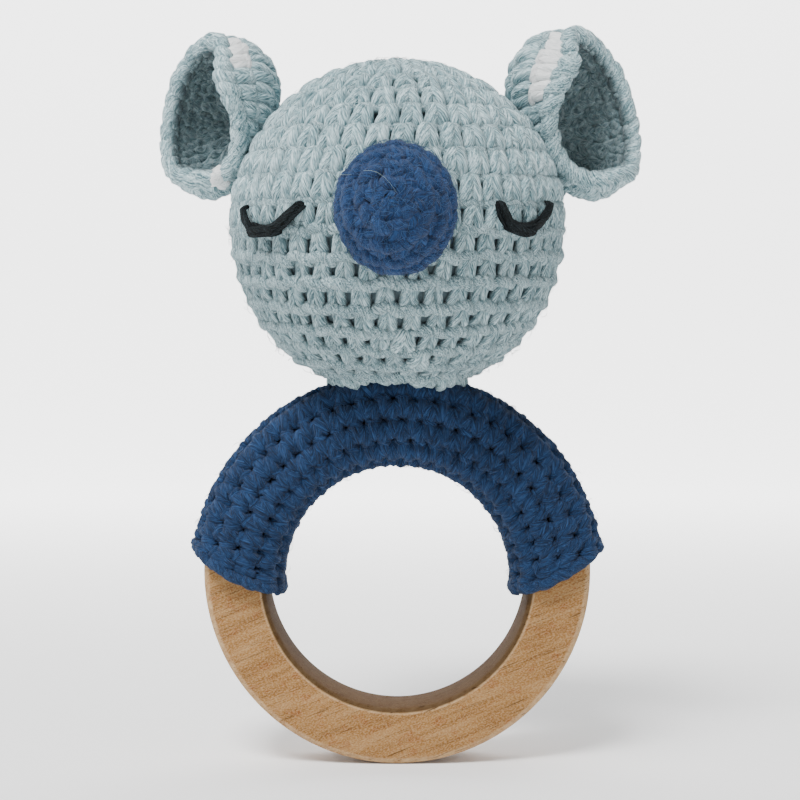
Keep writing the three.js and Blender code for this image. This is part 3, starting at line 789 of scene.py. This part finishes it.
def build_sleeve():
    verts, faces = shell_mesh(lambda u, v, out: sleeve_surface(v, u / TURN, out),
                              90, 64, inner=-1.2, outer=-0.4, first=0.008, last=0.992)
    mesh = (clear_of_ring(verts), faces)
    add_backing("sleeve_backing", mesh, RING_CENTRE, NAVY_BACKING_SHADED, "ring_sleeve")

    row, stitch = (part.ravel() for part in np.mgrid[0:SLEEVE_ROWS, 0:SLEEVE_STITCHES])
    count = len(row)
    starts = (stitch + 0.25 + 0.5 * (row % 2) + RANDOM.normal(0, 0.03, count)) / SLEEVE_STITCHES
    rows = 0.25 + (row + RANDOM.normal(0, 0.02, count)) / SLEEVE_ROWS
    groups = tight_fabric(sleeve_surface, starts, 1 / SLEEVE_STITCHES, rows, 1 / SLEEVE_ROWS)
    for strands in groups:
        strands.paths = ends_tucked(strands.paths)
    facing_front = [strands.middles()[:, 1] < 0 for strands in groups]
    ends = sleeve_ends()
    for name, front in (("sleeve_stitches_front", True), ("sleeve_stitches_back", False)):
        parts = [strands.pick(mask == front) for strands, mask in zip(groups, facing_front)]
        parts.append(ends.pick((ends.middles()[:, 1] < 0) == front))
        span = (0.02, 0.48) if front else (0.52, 0.98)
        parts.append(hairs(sleeve_surface, 260, (0.02, 0.98), span, out=1.7, length=2.0, lift=0.7))
        add_yarn(name, parts, NAVY, RING_CENTRE, "ring_sleeve", clear_of_ring)


def ends_tucked(paths):
    """Holds yarn back at the slanted ends of the sleeve."""
    x, y, z = np.moveaxis(paths, -1, 0)
    floor = SLEEVE_END[1] + (np.abs(x) - SLEEVE_END[0]) * SLEEVE_END[2] + 0.9
    return xyz(x, y, np.maximum(z, floor))


def sleeve_ends():
    """The cord of edge stitches round each end of the sleeve."""
    count = 16
    template = [(-0.66, 0.0, 0.2), (-0.33, -0.02, 0.95), (0.0, 0.0, 1.15), (0.33, 0.02, 0.95),
                (0.66, 0.0, 0.2)]
    local = smooth_path(shaken(template, 2 * count))
    end = np.repeat([0.0, 1.0], count)[:, None]
    v = (np.tile(np.arange(count), 2)[:, None] + local[..., 0]) / count
    u = end + (1 - 2 * end) * (0.010 + local[..., 1] * 0.05)
    return Strands(*laid(sleeve_surface, u, v, local[..., 2]), radii=1.15, depths=local[..., 2], twist=1.2)


def build_sleeve_seam():
    """Overcast stitches that close the sleeve behind the ring."""
    count = 34
    u = np.linspace(0.05, 0.95, count)
    template = [(-0.35, -0.42, -0.2), (-0.2, -0.25, 1.1), (0.0, 0.0, 1.5), (0.2, 0.25, 1.1),
                (0.35, 0.42, -0.2)]
    local = shaken(template, count)
    strands = laid_strands(sleeve_surface, local, u, 1 / count, rows=0.735, heights=0.055,
                           radius=0.62, twist=LOOP_TWIST)
    add_yarn("sleeve_seam_stitches", [strands], NAVY, RING_CENTRE, "sleeve_seam")


# ---- neck ----

NECK_STITCHES = 34


def build_neck_seam():
    """Slanted stitches from the underside of the head down into the sleeve."""
    angle = angles_round(NECK_STITCHES)
    across = np.abs(np.cos(angle))
    top_reach = 11.2 + 0.9 * across
    top_height, foot_x, foot_y = 34.9, 11.0, 8.3
    top = xyz(top_reach * np.cos(angle), top_reach * 0.86 * np.sin(angle), top_height)
    slant = angle + 0.12
    sleeve_top = np.sqrt((SLEEVE_OUTER - 1.5) ** 2 - (foot_x * np.cos(slant)) ** 2) - SLEEVE_DROP
    foot = xyz(foot_x * np.cos(slant), foot_y * np.sin(slant), sleeve_top - 0.6 * np.abs(np.sin(slant)))
    foot[:, 2] += RANDOM.normal(0, 0.4, NECK_STITCHES)
    middle = (top + foot) / 2
    outward = unit(xyz(np.cos(angle), np.sin(angle), 0))
    middle += outward * (0.5 + 0.9 * np.abs(np.sin(angle)))[:, None]
    paths = smooth_path(np.stack([top, middle, foot], 1))
    strands = Strands(paths, outward[:, None], radii=0.98, depths=0.8, twist=0.8)
    add_yarn("neck_stitches", [strands], GREY, RING_CENTRE, "neck_seam")


# ---- nose ----

NOSE_ROUNDS = [5, 9, 13, 16, 18]
NOSE_REACH = math.radians(97)
NOSE_PLACE = np.array([NOSE_CENTRE[0], HEAD_CENTRE[1] - HEAD_RADIUS + 0.9, NOSE_CENTRE[2]])


def nose_surface(u, v, out):
    """u is the angle round the button, v 0 at its middle and 1 at its base."""
    angle = v * NOSE_REACH
    width = 10.4 - FABRIC_TOP + out
    height = 11.2 - FABRIC_TOP + out
    depth = 9.6 - FABRIC_TOP + out
    x = width * np.sin(angle) * np.sin(u) - 1.2 * np.cos(angle)
    z = height * np.sin(angle) * np.cos(u) + 0.3 * np.cos(angle)
    return xyz(x, -depth * np.cos(angle), z)


def build_nose():
    mesh = shell_mesh(nose_surface, 24, 64, inner=-1.2, outer=-0.4, first=0.01, last=1.04)
    add_backing("nose_backing", mesh, NOSE_PLACE, NAVY_BACKING_SHADED, "nose_cap")
    height = 1.0 / (len(NOSE_ROUNDS) - 0.2)
    parts = rounds(NOSE_ROUNDS, -0.25 * height, height, spiral=True, shift=0)
    parts[2] = np.clip(parts[2], 0.03, 0.93)
    groups = crochet(nose_surface, *parts, posts=0.9, lean=0.3, size=1.12)
    add_yarn("nose_stitches", groups, NOSE_NAVY, NOSE_PLACE, "nose_cap")
    fuzz = hairs(nose_surface, 480, (0, TURN), (0.0, 0.9), out=1.7, length=2.4, lift=0.5, crowding=0.6)
    add_yarn("nose_fuzz", [fuzz], NOSE_FUZZ_LIT, NOSE_PLACE, "nose_cap")
    lint = hairs(nose_surface, 3, (3.6, 5.6), (0.35, 0.75), out=2.3, length=9.0, lift=0.6)
    add_yarn("nose_lint", [lint], GREY, NOSE_PLACE, "nose_cap")


def build_nose_seam():
    """Small stitches that hold the nose down all round."""
    count = 26
    start = angles_round(count)
    template = [(-0.25, -0.10, -0.6), (-0.1, 0.01, 0.5), (0.1, 0.05, 0.5), (0.3, 0.12, -0.6)]
    local = shaken(template, count, amount=(0.02, 0.005, 0.05))
    strands = laid_strands(nose_surface, local, start, TURN / count, rows=0.93, heights=1.0,
                           radius=0.5, twist=LOOP_TWIST)
    add_yarn("nose_seam_stitches", [strands], NOSE_NAVY, NOSE_PLACE, "nose_seam")


# ---- eyes ----

EYE_STRANDS = 8
EYE_THREAD_RADIUS = 0.9
EYE_TILT = math.radians(2)  # the inner corner of each eye is this much lower than the outer one
EYE_SKEW = 0.82  # under 1 moves the lowest point of an eye towards its left corner
EYE_STITCHES = [(0.0, 0.31), (0.22, 0.61), (0.48, 1.0)]  # the stretch of the eye that each stitch covers
EYE_STITCH_WIDTHS = {"left": (1.5, 2.2, 2.1), "right": (1.8, 2.2, 1.6)}
STITCH_TAUTNESS = 0.45  # how far a stitch is pulled straight


def eye_curve(side, share):
    """Angles round and up of a closed eye that hangs between its corners, from the frame's box of it."""
    low, high = (corner - HEAD_CENTRE for corner in box_mm(f"eye_{side}"))
    inset = EYE_THREAD_RADIUS * 0.7
    first, last = np.arcsin(np.array([low[0] + inset, high[0] - inset]) / HEAD_RADIUS)
    top, bottom = np.arcsin(np.array([high[2], low[2] + EYE_THREAD_RADIUS]) / HEAD_RADIUS)
    left_corner, right_corner = (top, top - EYE_TILT) if side == "left" else (top - EYE_TILT, top)
    around = first + (last - first) * (1 - np.cos(math.pi * share)) / 2
    hang = (top - EYE_TILT / 2 - bottom) * np.sin(math.pi * share**EYE_SKEW)
    return around, left_corner + (right_corner - left_corner) * share - hang


def on_head(around, up):
    """Directions from the head's centre, for angles round from the face and angles up."""
    return xyz(np.cos(up) * np.sin(around), -np.cos(up) * np.cos(around), np.sin(up))


def satin_stitch(side, first, last, width):
    """A bundle of threads that leaves the fabric at one end and enters it at the other."""
    share = np.linspace(0, 1, 16)
    along = on_head(*eye_curve(side, first + (last - first) * share))
    straight = along[:1] * (1 - share[:, None]) + along[-1:] * share[:, None]
    normals = unit(along * (1 - STITCH_TAUTNESS) + straight * STITCH_TAUTNESS)
    rise = np.clip(np.sin(share * math.pi) * 3.2, 0, 1)
    centre = normals * (HEAD_RADIUS - 1.1 + 1.25 * rise)[:, None]
    side_way = unit(np.cross(unit(np.gradient(centre, axis=0)), normals))
    place = np.linspace(-1, 1, EYE_STRANDS)
    paths = []
    for across in place[RANDOM.permutation(EYE_STRANDS)]:
        spread = across * (width / 2 - 0.25) * (0.55 + 0.45 * rise) + RANDOM.normal(0, 0.05)
        wander = 0.15 * np.sin(share * RANDOM.uniform(5, 9) + RANDOM.uniform(0, 6))
        crown = 0.42 * (1 - across**2) + RANDOM.normal(0, 0.15)
        paths.append(centre + (spread + wander)[:, None] * side_way + crown * rise[:, None] * normals)
    paths = np.stack(paths)
    radii = 0.36 * RANDOM.uniform(0.85, 1.15, (EYE_STRANDS, 1)) * (0.6 + 0.4 * rise)[None]
    return Strands(paths, normals, radii, depths=1.0, twist=1.2)


def build_eye(side):
    groups = []
    for (first, last), width in zip(EYE_STITCHES, EYE_STITCH_WIDTHS[side]):
        groups.append(satin_stitch(side, first, last, width))
        around, up = eye_curve(side, (first + last) / 2)
        u = math.pi - around
        v = math.pi / 2 - up - HEAD_NOD * math.cos(u - math.pi)
        groups.append(hairs(head_surface, 14, (u - 0.07, u + 0.07), (v - 0.05, v + 0.05),
                            out=2.0, length=2.4, lift=0.7))
    add_yarn(f"eye_thread_{side}", groups, BLACK, HEAD_CENTRE, f"eye_{side}")


# ---- ears ----

EAR_TURN = math.radians(28)
EAR_MOUTH = 1.5  # the opening is cut this far in front of the widest section
EAR_ROOT_LIFT = 1.4  # the ear is sewn on this far outside the head's surface
# The fold is an angle round the ear and its width. Each patch of white yarn is an angle round the
# ear and its reach. Angles are in degrees from the ear's top outwards.
EARS = {
    "left": dict(size=(21.4, 19.0, 30.6), lean=11, side=-1, swell=1.7, fold=(-54, 54),
                 white=((-26, 2.1), (-40, 2.1), (-152, 1.1))),
    "right": dict(size=(22.4, 19.0, 32.4), lean=17, side=1, swell=2.7, fold=(-46, 48),
                  white=((-16, 1.2), (-38, 1.9), (-52, 2.2), (-66, 1.9))),
}


def leaned(ear, x, z):
    """Places across and along an ear, turned by its lean."""
    lean = math.radians(-ear["side"] * ear["lean"])
    return x * math.cos(lean) + z * math.sin(lean), z * math.cos(lean) - x * math.sin(lean)


def find_ear(name):
    """Fills in an ear's centre and roots, in millimetres from the ring's centre, from the frame's boxes."""
    ear = EARS[name]
    side = ear["side"]
    turn, rise = np.meshgrid(np.linspace(0, TURN, 121), np.linspace(0, math.pi, 61))
    half = np.array(ear["size"]) / 2
    y = half[1] * np.sin(rise) * np.sin(turn)
    x, z = leaned(ear, half[0] * np.sin(rise) * np.cos(turn), half[2] * np.cos(rise))
    kept = side * x * math.sin(EAR_TURN) - y * math.cos(EAR_TURN) < EAR_MOUTH
    low, high = np.array([box_mm(node) for node in (f"ear_{name}", f"ear_white_{name}")]).transpose(1, 0, 2)
    outer = max(high[:, 0]) if side > 0 else min(low[:, 0])
    ear["centre"] = np.array([outer - side * (side * x[kept]).max(), RING_CENTRE[1],
                              high[:, 2].max() - z[kept].max()]) - RING_CENTRE
    low, high = box_mm(f"ear_seam_{name}")
    inner_x, outer_x = (low[0], high[0]) if side > 0 else (high[0], low[0])
    for key, x, z in (("root_top", inner_x, high[2]), ("root_bottom", outer_x, low[2])):
        way = unit(np.array([x, HEAD_CENTRE[1], z]) - HEAD_CENTRE)
        ear[key] = HEAD_CENTRE + way * (HEAD_RADIUS + EAR_ROOT_LIFT) - RING_CENTRE


for ear_name in EARS:
    find_ear(ear_name)

EAR_ROUNDS = [6, 13, 20, 25, 28]
EAR_ROUND_HEIGHT = 0.197  # as a share of the way from the back of the ear to its rim
EAR_RIM = 27  # stitches in the rope round the rim
WHITE_ROUND = 0.85  # how far from the back of the ear to its rim


def bump(angle, centre, width):
    """A smooth rise of 1 at an angle round the ear, in degrees."""
    away = (np.degrees(angle) - centre + 180) % 360 - 180
    return np.exp(-(away / width) ** 2)


def ear_surface_of(ear):
    side = ear["side"]
    opening = np.array([side * math.sin(EAR_TURN), -math.cos(EAR_TURN), 0])
    outward = np.array([side * math.cos(EAR_TURN), math.sin(EAR_TURN), 0])
    half = np.array(ear["size"]) / 2

    def surface(u, v, out):
        """u is the angle round the ear from its top outwards, v 0 at the back and 1 at the rim."""
        rim = np.radians(99 + 42 * bump(u, *ear["fold"]) + 24 * bump(u, 180, 40) + 8 * bump(u, 30, 40))
        angle = v * rim
        across, up = np.sin(angle) * np.sin(u), np.sin(angle) * np.cos(u)
        ball = across[..., None] * outward - np.cos(angle)[..., None] * opening
        ball[..., 2] += up
        swell = ear["swell"] * bump(u, -50, 42) * np.sin(angle)
        reach = half - 2.2 + (np.asarray(out) + swell)[..., None]
        x, y, z = np.moveaxis(ball * reach, -1, 0)
        x, z = leaned(ear, x, z)
        return xyz(x, y, z) + ear["centre"]

    return surface


def outside_head(strands):
    reach = strands.middles() - (HEAD_CENTRE - RING_CENTRE)
    return np.linalg.norm(reach, axis=1) > HEAD_RADIUS - 1.2


def white_mask(strands, ear):
    middles = strands.middles()
    u = np.radians([angle for angle, _ in ear["white"]])
    places = ear_surface_of(ear)(u, WHITE_ROUND, 0)
    uneven = RANDOM.uniform(0.8, 1.25, len(middles))
    near = [np.hypot(middles[:, 0] - place[0], middles[:, 2] - place[2]) < reach * uneven
            for place, (_, reach) in zip(places, ear["white"])]
    return np.any(near, axis=0) & (middles[:, 1] < 1.0)


def build_ear(name):
    ear = EARS[name]
    surface = ear_surface_of(ear)
    verts, faces = shell_mesh(surface, 22, 48, inner=0.7, outer=1.15, first=0.02, last=0.985)
    backing = make_piece(f"ear_backing_{name}", verts + RING_CENTRE, faces, EAR_BACKING)
    groups = crochet(surface, *rounds(EAR_ROUNDS, 0.02, EAR_ROUND_HEIGHT), posts=0.25, lean=0.15, size=1.02)
    template = [(-0.7, -0.30, 0.9), (-0.36, -0.06, 1.4), (0.0, 0.02, 1.3), (0.36, 0.04, 0.9),
                (0.7, -0.10, 0.1)]
    local = shaken(template, EAR_RIM)
    around = angles_round(EAR_RIM)
    groups.append(laid_strands(surface, local, around, TURN / EAR_RIM, rows=0.985,
                               heights=EAR_ROUND_HEIGHT, radius=1.6, twist=0.8, taper=0.5))
    grey, white = [], []
    for strands in groups:
        # raised so that the ear's yarn takes less of its material's painted shade
        strands.depths = strands.depths * 0.5 + 0.68
        strands = strands.pick(outside_head(strands))
        mask = white_mask(strands, ear)
        grey.append(strands.pick(~mask))
        if mask.any():
            white.append(strands.pick(mask))
    fibres = hairs(surface, 260, (0, TURN), (0.5, 1.0), out=1.0, length=2.2, lift=0.6)
    grey.append(fibres.pick(outside_head(fibres)))
    stitches = yarn_piece(f"ear_stitches_{name}", grey, GREY, RING_CENTRE)
    patches = yarn_piece(f"ear_white_stitches_{name}", white, WHITE, RING_CENTRE)
    top, bottom = ear["root_top"], ear["root_bottom"]
    away = np.cross(unit(top - bottom), [0, 1, 0])
    away = away * ear["side"] * np.sign(away[0])
    for piece, slot, node in ((backing, "grey_yarn", f"ear_{name}"), (stitches, "grey_yarn", f"ear_{name}"),
                              (patches, "white_yarn", f"ear_white_{name}")):
        place_piece(piece, None, node)
        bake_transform(piece)


def build_ear_seam(name):
    """Stitches along the line where the ear is sewn to the head."""
    ear = EARS[name]
    head = HEAD_CENTRE - RING_CENTRE
    count = 10
    share = np.linspace(0.14, 0.94, count)[:, None]
    line = ear["root_top"] * (1 - share) + ear["root_bottom"] * share
    normal = unit(line - head)
    foot = head + normal * HEAD_RADIUS
    slant = unit(ear["root_bottom"] - ear["root_top"])
    front = np.array([0, -1.0, 0])
    template = [(-1.5, 1.1, 0.0), (-0.3, 0.8, 0.3), (0.0, 0.0, 0.8), (-0.3, -0.8, 1.2), (-1.5, -1.1, 1.4)]
    paths = np.stack([foot + normal * out + front * ahead + slant * down for out, ahead, down in template], 1)
    paths = smooth_path(paths + RANDOM.normal(0, 0.22, paths.shape))
    # a depth of 0 gives the seam its yarn's painted shade, so that it sinks into the ear's shaded hollow
    strands = Strands(paths, normal[:, None], radii=0.55, depths=0.0, twist=0.9)
    add_yarn(f"ear_seam_stitches_{name}", [strands], GREY, RING_CENTRE, f"ear_seam_{name}")


# ---- stuffing ----


def build_stuffing(node):
    """Fibrefill: the CAD solid's shape, rounded off and teased into tufts."""
    source = bpy.data.objects[node]
    piece = add_object(f"{node}_fill", source.data.copy())
    remesh = piece.modifiers.new("remesh", "REMESH")
    remesh.mode = "VOXEL"
    remesh.voxel_size = (0.5 if node == "nose_stuffing" else 0.9) * MM
    smooth = piece.modifiers.new("smooth", "SMOOTH")
    smooth.iterations = 6
    evaluated = piece.evaluated_get(bpy.context.evaluated_depsgraph_get())
    mesh = bpy.data.meshes.new_from_object(evaluated)
    piece.modifiers.clear()
    piece.data = mesh
    coords, normals = np.empty((2, len(mesh.vertices), 3))
    mesh.vertices.foreach_get("co", coords.ravel())
    mesh.vertex_normals.foreach_get("vector", normals.ravel())
    x, y, z = np.hsplit(coords / MM, 3)
    tufts = np.sin(x * 1.9 + 3 * np.sin(y * 0.8)) * np.sin(z * 1.6 + 2 * np.sin(x * 0.7))
    coords -= normals * (0.25 + 0.2 * tufts) * MM
    mesh.vertices.foreach_set("co", coords.ravel())
    mesh.shade_smooth()
    mesh.materials.clear()
    mesh.materials.append(FIBREFILL)
    place_piece(piece, "toy", node)


# ---- inner pieces ----


def finish_capsule():
    looks = {"capsule_upper": CAPSULE, "capsule_lower": CAPSULE}
    looks.update({f"pellet_{number}": PELLET for number in range(1, 6)})
    for node, material in looks.items():
        for slot in bpy.data.objects[node].material_slots:
            slot.material = material


add_camera()
add_stage()
add_lights()
build_ring()
build_head()
build_sleeve()
build_sleeve_seam()
build_neck_seam()
build_nose()
build_nose_seam()
for side_name in ("left", "right"):
    build_eye(side_name)
    build_ear(side_name)
    build_ear_seam(side_name)
for stuffed in ("head_stuffing_upper", "head_stuffing_lower", "nose_stuffing"):
    build_stuffing(stuffed)
finish_capsule()
